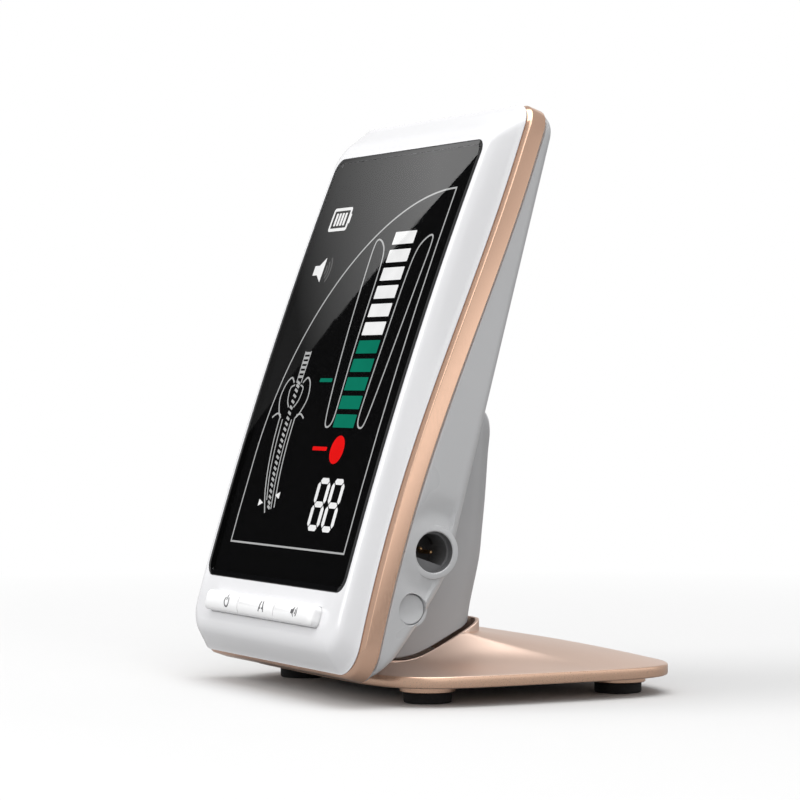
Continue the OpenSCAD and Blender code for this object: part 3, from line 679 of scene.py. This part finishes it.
class Picture:
    """Flat lit shapes of one colour, all at the depth of the picture."""

    def __init__(self):
        self.bm = bmesh.new()
        self.lift = 0.0
        self.drape = lambda v: 0.0

    def point(self, x, v, back):
        depth = PIXEL_DEPTH + (PIXEL_T if back else 0.0) + self.lift + self.drape(v)
        return self.bm.verts.new(head(x, face_u(v) + depth, v))

    def line(self, points, width, closed=False):
        """Stroke along points, with mitred corners."""
        n = len(points)
        front, back = [], []
        for i, (x, v) in enumerate(points):
            before = points[i - 1] if i or closed else points[i]
            after = points[(i + 1) % n] if i < n - 1 or closed else points[i]
            d0 = unit(x - before[0], v - before[1]) if before != (x, v) else None
            d1 = unit(after[0] - x, after[1] - v) if after != (x, v) else None
            d0, d1 = d0 or d1, d1 or d0
            t = unit(d0[0] + d1[0], d0[1] + d1[1])
            reach = width / 2 / max(0.5, t[0] * d1[0] + t[1] * d1[1])
            nx, nv = -t[1] * reach, t[0] * reach
            for side, far in ((front, False), (back, True)):
                side.append((self.point(x + nx, v + nv, far), self.point(x - nx, v - nv, far)))
        for i in range(n if closed else n - 1):
            j = (i + 1) % n
            (a, b), (c, d), (e, f), (g, h) = front[i], front[j], back[i], back[j]
            for quad in ((a, b, d, c), (e, g, h, f), (a, c, g, e), (b, f, h, d)):
                self.bm.faces.new(quad)
        if not closed:
            for i in (0, n - 1):
                self.bm.faces.new((front[i][0], front[i][1], back[i][1], back[i][0]))

    def shape(self, points):
        """Filled outline."""
        front, back = ([self.point(x, v, far) for x, v in points] for far in (False, True))
        self.bm.faces.new(front)
        self.bm.faces.new(back[::-1])
        for i in range(len(points)):
            j = (i + 1) % len(points)
            self.bm.faces.new((front[i], back[i], back[j], front[j]))

    def bar(self, x, v, w, h, r):
        self.shape([(x + px, v + pv) for px, pv in outline(w, h, r, 0, 4, 1, 1)])

    def done(self, name, material, body="head", slot="lcd_dark"):
        return dress(finish_mesh(name, self.bm), material, body, slot)


def unit(x, y):
    length = math.hypot(x, y) or 1.0
    return x / length, y / length


def curve(points, steps, closed=False):
    """Smooth path through a few points."""
    n = len(points)
    out = []
    for i in range(n if closed else n - 1):
        near = [(i + k) % n if closed else int(clamp(i + k, 0, n - 1)) for k in (-1, 0, 1, 2)]
        for k in range(steps):
            t = k / steps
            spot = []
            for a, b, c, d in zip(*(points[m] for m in near)):
                spot.append(0.5 * (2 * b + (c - a) * t + (2 * a - 5 * b + 4 * c - d) * t * t
                                   + (3 * b - a - 3 * c + d) * t ** 3))
            out.append(tuple(spot))
    return out if closed else out + [tuple(points[-1])]


def arc_points(cx, cv, rx, rv, start, end, steps):
    turns = [math.radians(start + (end - start) * i / steps) for i in range(steps + 1)]
    return [(cx + rx * math.cos(a), cv + rv * math.sin(a)) for a in turns]


def digit(picture, x, v):
    """Seven-segment figure eight."""
    w, h, t, gap = 6.2, 12.2, 1.35, 0.28
    for row in (-1, 0, 1):
        picture.shape(segment(x, v + row * (h - t) / 2, w - t - 2 * gap, t, True))
    for col in (-1, 1):
        for row in (-1, 1):
            at = x + col * (w - t) / 2, v + row * (h - t) / 4
            picture.shape(segment(*at, (h - t) / 2 - 2 * gap, t, False))


def segment(x, v, length, t, flat):
    half, tip = length / 2, t / 2
    flank = half - tip
    points = [(-half, 0), (-flank, tip), (flank, tip), (half, 0), (flank, -tip), (-flank, -tip)]
    if flat:
        return [(x + a, v + b) for a, b in points]
    return [(x + b, v - a) for a, b in points]


def screen_picture():
    # Frame: straight sides and one big sweep over the top left
    sweep = arc_points(29.2, -22, 59.6, 63.2, 90, 180, 48)
    lines = Picture()
    lines.line([(30.3, -43.4)] + [(29.3 + k / 6, 41.2 - 84.6 * k / 6) for k in range(5, -1, -1)]
               + [(29.2, 41.2)] + sweep[1:] + [(-30.3, -36), (-30.2, -43.4)], 0.42, True)
    # Canal outlines on both sides of the bars
    canal = [(8.2, 26.5), (7.3, 20), (6.9, 5), (6.3, -8), (6.4, -13.4), (8.2, -15.1), (10.1, -13.6),
             (11.6, -5), (13.0, 8), (13.9, 20), (14.3, 27.8), (13.4, 30.1), (10.6, 29.3)]
    for side in (-1, 1):
        lines.line(curve([(12.2 + side * x, v) for x, v in canal], 6, True), 0.42, True)
    tooth(lines)
    lines.done("picture_lines", SEG_LINE)

    white, teal, red, dim = Picture(), Picture(), Picture(), Picture()
    for i in range(11):
        (white if i < 6 else teal).bar(12.0, 30.1 - 4.37 * i, 10.4, 3.1, 0.2)
    digit(white, 11.2, -33)
    digit(white, 18.4, -33)
    # Battery sign
    white.line([(x - 25.9, v + 36.4) for x, v in outline(9.0, 5.2, 0.4, 0, 3, 1, 1)], 0.75, True)
    for k in (-2.4, -0.8, 0.8, 2.4):
        white.bar(-25.9 + k, 36.4, 0.95, 3.2, 0.15)
    white.bar(-20.9, 36.4, 0.9, 2.4, 0.2)
    # Loudspeaker sign, with its sound waves unlit
    white.shape([(-30.6, 24.7), (-28.2, 24.7), (-25.6, 26.6), (-25.6, 20.5), (-28.2, 22.3), (-30.6, 22.3)])
    for r in (1.4, 2.7, 4.0):
        dim.line(arc_points(-25.2, 23.5, r * 0.9, r, -48, 48, 10), 0.62)
    # Marks beside the scale, and arrowheads on both sides of the root
    teal.bar(-4.2, -4.0, 6.4, 0.9, 0.3)
    red.bar(3.4, -20.2, 7.4, 0.9, 0.3)
    red.shape(arc_points(12.4, -20.3, 3.3, 3.3, 0, 352.5, 47))
    for tip, back, v in ((-18.5, -20.8, -33.7), (-12.9, -10.6, -31.7)):
        white.shape([(tip, v), (back, v + 0.8), (back, v - 0.8)])
    white.done("picture_white", SEG_WHITE)
    teal.done("picture_teal", SEG_TEAL)
    red.done("picture_red", SEG_RED)
    dim.done("picture_dim", SEG_DIM)


def tooth(lines):
    """Tooth in outline with a file running down one canal."""
    cx = -18.6

    def stroke(points, steps, width, side=1):
        lines.line(curve([(cx + side * x, v) for x, v in points], steps), width)

    for side in (-1, 1):
        crown = [(2.4, -4.6), (4.4, -3.4), (6.6, -5.0), (7.5, -8.5), (5.6, -12.0), (3.9, -13.2)]
        stroke(crown, 6, 0.4, side)
        stroke([(1.6, -5.2), (3.4, -6.0), (3.0, -8.8), (1.4, -10.6)], 6, 0.36, side)
        stroke([(4.3, -12.6), (6.4, -12.2), (8.6, -13.2)], 6, 0.4, side)
    # Both walls of the root, inside and outside
    stroke([(-4.4, -13.2), (-3.9, -19), (-2.6, -25), (-0.4, -31), (2.6, -36)], 8, 0.4)
    stroke([(-2.6, -13.6), (-2.0, -20), (-0.6, -27), (1.8, -33)], 8, 0.34)
    stroke([(3.9, -13.2), (4.1, -20), (5.0, -27), (6.9, -34.6)], 8, 0.4)
    stroke([(2.4, -13.6), (2.5, -20), (3.6, -28), (5.4, -35)], 8, 0.34)
    # Handle with rings, and the fluted shaft below it
    for i in range(6):
        lines.bar(cx + 0.1, 2.6 - 1.15 * i, 2.9 - 0.08 * i, 0.62, 0.1)
    for top, low in ((1.6, 1.35), (-1.4, -1.1)):
        lines.line([(cx + top, 3.1), (cx + low, -4.6)], 0.3)
    shaft = ((0.1, -4.6), (0.2, -12), (0.7, -20), (1.9, -28), (4.2, -35.4))
    shaft = curve([(cx + x, v) for x, v in shaft], 6)
    for i, (x, v) in enumerate(shaft[:-1]):
        w = 0.85 - 0.15 * i / len(shaft)
        lines.line([(x - w, v + 0.25), (x + w, v - 0.35)], 0.62)


# ---- Keys ----
KEY_PITCH = KEY_BAR / 3
KEYS = ((-1, "power"), (0, "set"), (1, "volume"))


def key_dome(d):
    """How far a key's surface falls back, at a distance from its middle line."""
    return 1.15 * (1 - math.sqrt(max(0.0, 1 - (d / (KEY_H / 2)) ** 2)))


def keys():
    """Three domed keys in one bar: only the bar's own ends are rounded."""
    for i, name in KEYS:
        def ring(inset, lift, depth=None, ends=0.12):
            left = inset if i == -1 else min(inset, ends)
            right = inset if i == 1 else min(inset, ends)
            radii = [max(0.1, (1.3 if i == end else 0.2) - inset * 0.5) for end in (1, -1, -1, 1)]
            mid = i * KEY_PITCH + (left - right) / 2
            w = KEY_PITCH - 0.14 - left - right
            spots = outline(w, KEY_H - 2 * inset, radii, KEY_V, 8, 20, 10)
            return [head(mid + x, depth or face_u(v) - KEY_RISE + lift, v) for x, v in spots]

        rings = [ring(-0.7, 0, 3.0, -0.5), ring(-0.7, 0, 2.3, -0.5), ring(0, 0, 2.3)]
        for a in (0, 8, 16, 26, 36, 48, 60, 72, 82):
            inset = (KEY_H / 2 - 0.1) * (1 - math.cos(math.radians(a)))
            rings.append(ring(inset, key_dome(KEY_H / 2 - inset) + (0.25 if a == 0 else 0.0)))
        key = loft(name + "_button", rings, sharp=50)
        # The key white carries a painted highlight
        dress(key, KEY_WHITE_PAINTED_HIGHLIGHT, name + "_key_body", "key_white", name + "_key")


def key_icons():
    for i, name in KEYS:
        icon = Picture()
        icon.lift = -PIXEL_DEPTH - KEY_RISE - 0.04
        icon.drape = lambda v: key_dome(v - KEY_V)
        x, v = i * KEY_PITCH + ICON_SHIFT[i + 1], KEY_V + 0.1
        if name == "power":
            icon.line(arc_points(x, v - 0.15, 1.15, 1.15, 125, 415, 24), 0.36)
            icon.line([(x, v + 0.2), (x, v + 0.7), (x, v + 1.2), (x, v + 1.5)], 0.36)
        elif name == "set":
            for side in (-1, 1):
                leg = ((0.5, 1.2), (0.75, 0.4), (1.0, -0.4), (1.25, -1.2))
                icon.line([(x + side * dx, v + dv) for dx, dv in leg], 0.42)
                icon.line([(x + side, v - 0.45), (x + side * 0.3, v - 0.45)], 0.36)
        else:
            cone = ((-1.5, 0.45), (-0.8, 0.45), (0, 1.2), (0, 0.4), (0, -0.4), (0, -1.2), (-0.8, -0.45),
                    (-1.5, -0.45))
            icon.shape([(x + dx, v + dv) for dx, dv in cone])
            for r in (0.9, 1.7):
                icon.line(arc_points(x + 0.1, v, r * 0.8, r * 0.8, -45, 45, 8), 0.28)
        icon.done(name + "_icon", ICON, name + "_key_body", "part_black")


# ---- Neck ----
def neck_low(y):
    """Height of the neck's underside: level in front, climbing towards the rear."""
    d = y + 22.5
    return 8.45 + 0.55 * (d + math.sqrt(d * d + 16)) / 2


def neck_ring(x, inset, lift):
    """Side outline of the neck at one place across it, with its back drawn in."""
    path = curve(NECK_BACK, 5)
    back = []
    for i, (y, z) in enumerate(path):
        (y0, z0), (y1, z1) = path[max(0, i - 1)], path[min(len(path) - 1, i + 1)]
        ty, tz = unit(y1 - y0, z1 - z0)
        back.append((y - tz * inset, z + ty * inset))
    y_low = back[0][0]
    steps = [-31 + (y_low + 31) * k / 16 for k in range(17)]
    low = [(y, neck_low(y) + lift) for y in steps]
    back[0] = (y_low, max(back[0][1], low[-1][1] + 0.2))
    # The front of the neck lies hidden inside the rear housing
    inside = []
    for k in range(17):
        v = -3.0 - 56.0 * k / 16
        p = head(0, back_u(v) - 1.2, v) / MM
        inside.append((p.y - FEET_Y, p.z))
    return [place(x, y, z) for y, z in low + back + inside]


def neck():
    """Grey neck: bowed back with rounded corners, rising underside, battery cover on the back."""
    lifts = {0: 0.45, 10: 0.2, 20: 0.05}
    sections = []
    for side in (-1, 1):
        half = []
        for degrees in (0, 10, 20, 32, 44, 56, 68, 80, 90):
            a = math.radians(degrees)
            x, inset = NECK_W / 2 - NECK_R * (1 - math.cos(a)), NECK_R * (1 - math.sin(a))
            half.append(neck_ring(side * x, inset, lifts.get(degrees, 0.0)))
        sections += half[::-side]
    body = loft("neck_shell", sections)

    def cover_region(name, side_gap, end_gap, depth):
        low_z, top_z, half_w = COVER_LOW + end_gap, COVER_TOP - end_gap, COVER_HALF - side_gap
        points = [(y, z) for y, z in curve(NECK_BACK, 12) if low_z <= z <= top_z]
        inner = [(y - depth, z) for y, z in points]
        outer = [(y + 6, z) for y, z in reversed(points)]
        edge = [(points[-1][0] - depth, top_z), (points[-1][0] + 6, top_z)]
        start = [(points[0][0] + 6, low_z), (points[0][0] - depth, low_z)]
        return prism(name, inner + edge + outer + start, lambda y, z, x: place(x, y, z), -half_w, half_w)

    lid = add("battery_lid", body.data.copy())
    boolean(lid, cover_region("lid_region", 0.12, 0.14, 3.2), "INTERSECT")
    boolean(body, cover_region("seat_region", 0, 0, 3.4), "DIFFERENCE")
    seat = [(0, -12), (1.2, -12), (1.2, -4.15), (2.05, -4.1), (2.05, 10), (0, 10)]
    boolean(lid, turned("hole", seat, lambda a, b, y: place(a, y, 39.6 + b), 32), "DIFFERENCE")
    # The neck grey, also on the battery cover, carries painted shade
    for obj, node in ((body, "neck"), (lid, "battery_cover")):
        resharpen(obj, 30)
        weigh(obj)
        dress(obj, NECK_GREY_PAINTED_SHADE, "head", "neck_grey", node)


# ---- Base ----
def rearward(a):
    """0 towards the front and the sides of the base, 1 towards its rear."""
    return soft_step((math.sin(a) - 0.1) / 0.8)


def base_plate():
    """Gold plate with a thin bowed edge, swelling up to a lipped pocket that the neck dips into."""
    n = 240
    angles = [2 * math.pi * (i + 0.5) / n for i in range(n)]

    def pocket(a, s=0.0):
        return super_point(POCKET_A + s, POCKET_B + s, POCKET_N, POCKET_Y, a)

    def lip_z(a):
        return min(neck_low(pocket(a)[1]) - 0.5, LIP_TOP)

    def foot_z(a):
        return min(neck_low(pocket(a)[1]) - 0.6, SLOPE_TOP)

    def rim(a, inset=0.0):
        return super_point(BASE_A - inset, BASE_B - inset, BASE_N, BASE_Y, a)

    def fall(t, a):
        b = 0.35 - 0.8 * rearward(a)
        return 1 - (1 + b) * t + b * t * t

    def wall(s, height):
        return [place(*pocket(a, s), height(a)) for a in angles]

    def slope(t):
        ring = []
        for a in angles:
            p, q = pocket(a, LIP + 0.03), rim(a, 0.5)
            x, y = p[0] + (q[0] - p[0]) * t, p[1] + (q[1] - p[1]) * t
            ring.append(place(x, y, BASE_TOP + (foot_z(a) - BASE_TOP) * fall(t, a)))
        return ring

    def edge(inset, z):
        return [place(*rim(a, inset), z) for a in angles]

    def oval(k, z):
        return [place(*super_point(23.7 * k, 29.1 * k, 4, BASE_Y, a), z) for a in angles]

    def middle(share):
        spots = [pocket(a) for a in angles]
        return [place(x * share, POCKET_Y + (y - POCKET_Y) * share, POCKET_Z) for x, y in spots]

    rings = [middle(0.02), wall(-0.3, lambda a: POCKET_Z), wall(0, lambda a: POCKET_Z + 0.3),
             wall(0, lambda a: lip_z(a) - 0.15), wall(0.12, lip_z), wall(LIP - 0.15, lip_z),
             wall(LIP, lambda a: lip_z(a) - 0.15), wall(LIP + 0.03, lambda a: foot_z(a) + 0.02)]
    shares = (0.02, 0.05, 0.1, 0.16, 0.23, 0.31, 0.4, 0.5, 0.6, 0.7, 0.8, 0.88, 0.94, 0.98)
    rings += [slope(t) for t in shares]
    rings += [edge(0.32, BASE_TOP - 0.03), edge(0.1, BASE_TOP - 0.16), edge(0, BASE_TOP - 0.4),
              edge(0, BASE_LOW + 0.4), edge(0.12, BASE_LOW + 0.14), edge(0.4, BASE_LOW),
              oval(1, BASE_LOW), oval(1, BASE_LOW + COVER_SEAT), oval(0.02, BASE_LOW + COVER_SEAT)]
    plate = loft("gold_base", rings, sharp=40)
    dress(plate, BASE_GOLD, "base", "base_gold", "base_plate")
    # The upright edge is polished
    plate.data.materials.append(EDGE_GOLD)
    for f in plate.data.polygons:
        if abs(f.normal.z) < 0.5 and f.center.z / MM < BASE_TOP - 0.1:
            f.material_index = 1


def feet():
    """Four rubber feet, each under a gold pad, where the CAD model has them."""
    low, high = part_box("rubber_feet")
    reach_x, reach_y = ((b - a) / 2 / MM - FOOT_R for a, b in ((low.x, high.x), (low.y, high.y)))
    rubber_profile = [(0, 0.25), (3.2, 0.25), (3.5, 0), (4.85, 0), (5.2, 0.15), (FOOT_R, 0.45),
                      (FOOT_R, 2.25), (5.2, 2.43), (0, 2.43)]
    pad_profile = [(0, 2.45), (6.0, 2.45), (6.2, 2.6), (6.2, 3.7), (6.05, 3.9), (5.8, 3.95), (5.8, 4.13),
                   (0, 4.13)]
    nodes = ["rubber_feet"], ["foot_pads"]
    for sx, sy, name in ((-1, -1, "front_left"), (1, -1, "front_right"), (-1, 1, "rear_left"),
                         (1, 1, "rear_right")):
        def at(a, b, z):
            return place(sx * reach_x + a, sy * reach_y + b, z)

        dress(turned("foot_" + name, rubber_profile, at), RUBBER, "base", "rubber_black", *nodes[0])
        dress(turned("pad_" + name, pad_profile, at), EDGE_GOLD, "base", "trim_gold", *nodes[1])
        nodes = [], []


# ---- What stays as the CAD made it, with its own materials ----
def cad_materials():
    looks = (
        (SEAL, "window_gasket"), (DIFFUSER, "backlight"), (FLEX, "lcd_flex"), (MEMBRANE, "key_membrane"),
        (BOARD, "switch_board main_board"), (DARK_PLASTIC, "tact_switches buzzer charge_jack"),
        (CELL, "battery"), (WIRE, "battery_lead"), (COVER_DARK, "base_cover"),
        (STEEL, "board_screws cover_screw housing_screws neck_screws hinge_knuckle knuckle_screws hinge_pin"),
        (STEEL, "pin_clip friction_washers hinge_bracket bracket_screws counterweight cover_screws"),
    )
    for material, nodes in looks:
        for node in nodes.split():
            obj = frame["nodes"][node]
            if not obj.material_slots:
                obj.data.materials.append(material)
            for slot in obj.material_slots:
                slot.material = material


# ---- Studio ----
CAM_AZ, CAM_PITCH = 62.938, 0.5824
CAM_AT = (616.451, -318.901, 70.392)
AMBIENT = 0.5
FLOOR_SEEN, FLOOR_BOUNCE = 0.72, 0.34
FLAG_LEVELS, LIT_LEVELS = ((0, 0.012), (1, 0.012)), ((0, 0.1), (1, 1.6))
SIDE_LEVELS = ((0.03, 0.24), (1.0, 0.5), (0.09, 0.46), (0.21, 0.70), (0.34, 1.06), (0.48, 1.08), (0.65, 0.80),
               (0.82, 0.6))
LENS, SHIFT_X, SHIFT_Y = 135.907, -0.01625, 0.0125


def mirror_hit(x, v, away):
    """Where the camera's line of sight, mirrored by the window at x, v, meets an upright card to the left."""
    slope = (v - BOW_V) / BOW_R
    normal = (-IN + UP * slope).normalized()
    at = head(x, face_u(v), v)
    ray = (at - Vector(CAM_AT) * MM).normalized()
    out = ray - 2 * ray.dot(normal) * normal
    return at + out * ((-away - at.x) / out.x)


def card(name, points, levels, start, end):
    """Panel seen only in reflections. levels gives the strength at shares of the way from start to end."""
    bm = bmesh.new()
    bm.faces.new([bm.verts.new(p) for p in points])
    obj = finish_mesh(name, bm)
    m = Mat(name)
    way = (end - start) / (end - start).length_squared
    ramp = m.node("ShaderNodeValToRGB")
    m.put(ramp.inputs[0], m.math("SUBTRACT", m.dot(m.coord, way), start.dot(way)))
    stops = ramp.color_ramp.elements
    top = max(level for _, level in levels)
    for i, (share, level) in enumerate(levels):
        stop = stops[i] if i < 2 else stops.new(share)
        stop.position = share
        stop.color = rgb(*(level / top,) * 3)
    glow = m.node("ShaderNodeEmission", Strength=top, Color=ramp.outputs[0])
    obj.data.materials.append(m.surface(glow))
    for kind in ("camera", "diffuse", "transmission", "volume_scatter", "shadow"):
        setattr(obj, "visible_" + kind, False)


def reflection_cards():
    """Dark flag that the whole window mirrors, and a lit card in front of it over the window's upper left."""
    flag_away, lit_away = 0.8, 0.75
    left, right = mirror_hit(-37, 20, lit_away), mirror_hit(37, 20, lit_away)
    corners = [mirror_hit(x, v, flag_away) for x, v in ((60, 80), (-60, 80), (-60, -80), (60, -80))]
    card("dark flag", corners, FLAG_LEVELS, left, right)
    edge = [(37 - 76 * k / 8, 49 - 70 * k / 8 + 2.2 * math.sin(math.pi * k / 8)) for k in range(9)]
    around = [(60, 70)] + edge + [(-60, -40), (-60, 80), (40, 80)]
    card("lit card", [mirror_hit(x, v, lit_away) for x, v in around], LIT_LEVELS, left, right)
    # Upright card beside the head: its soft band of light lies on the middle of the gold edge
    way, across = Vector((0.887, 0.459, 0)), Vector((-0.459, 0.887, 0))
    middle = Vector((0.042, 0, 0)) + way * 0.15
    corners = ((-0.2, 0.0005), (0.2, 0.0005), (0.2, 0.2), (-0.2, 0.2))
    points = [middle + across * a + Vector((0, 0, z)) for a, z in corners]
    card("side card", points, SIDE_LEVELS, middle, middle + Vector((0, 0, 0.14)))


def softbox(name, at, look, size, power):
    light = bpy.data.lights.new(name, "AREA")
    light.energy = power
    light.size = size
    obj = add(name, light)
    obj.location = at
    obj.rotation_euler = (Vector(look) - Vector(at)).to_track_quat("-Z", "Y").to_euler()


def studio():
    scene = bpy.context.scene
    # The floor fades to plain white away from the object, and throws less light back than the camera sees
    m = Mat("pale floor")
    seen = m.node("ShaderNodeLightPath").outputs["Is Camera Ray"]
    tone = m.mix(m.spread(seen, 0, 1, FLOOR_BOUNCE, FLOOR_SEEN), rgb(0, 0, 0), rgb(1, 1, 1))
    plain = m.node("ShaderNodeBsdfDiffuse", Color=tone)
    white = m.node("ShaderNodeEmission", Strength=1.0)
    reach = m.feed(m.node("ShaderNodeVectorMath", operation="LENGTH"), m.coord)
    fade = m.spread(reach.outputs["Value"], 0.10, 0.42)
    bm = bmesh.new()
    bmesh.ops.create_grid(bm, x_segments=2, y_segments=2, size=6)
    floor = finish_mesh("floor", bm)
    floor.data.materials.append(m.surface(m.blend(m.math("MULTIPLY", fade, seen), plain, white)))

    # White backdrop to the camera, dimmer for everything it lights
    m = Mat("studio", world=True)
    seen = m.node("ShaderNodeLightPath").outputs["Is Camera Ray"]
    dim, full = (m.node("ShaderNodeBackground", Color=rgb(1, 1, 1), Strength=k) for k in (AMBIENT, 1.0))
    scene.world = m.surface(m.blend(seen, dim, full))

    softbox("top light", (0.15, -0.1, 1.3), (0, 0, 0), 1.3, 12.0)
    softbox("front light", (-0.35, -1.2, 0.75), (0, 0, 0.06), 0.9, 10.5)
    softbox("side light", (1.15, -0.3, 0.85), (0, 0, 0.06), 1.0, 3.6)
    softbox("back light", (-0.9, 0.75, 0.45), (0, 0.03, 0.01), 0.9, 0.7)
    reflection_cards()

    cam = bpy.data.cameras.new("camera")
    cam.sensor_width = 36
    cam.lens = LENS
    cam.shift_x, cam.shift_y = SHIFT_X, SHIFT_Y
    cam.clip_start, cam.clip_end = 0.05, 20
    obj = add("camera", cam)
    obj.location = Vector(CAM_AT) * MM
    obj.rotation_euler = (math.radians(90 - CAM_PITCH), 0, math.radians(CAM_AZ))
    scene.camera = obj
    scene.view_settings.view_transform = "Standard"
    scene.view_settings.look = "None"


front_housing()
trim_band()
rear_housing()
socket_parts()
display()
screen_picture()
keys()
key_icons()
neck()
base_plate()
feet()
cad_materials()
studio()
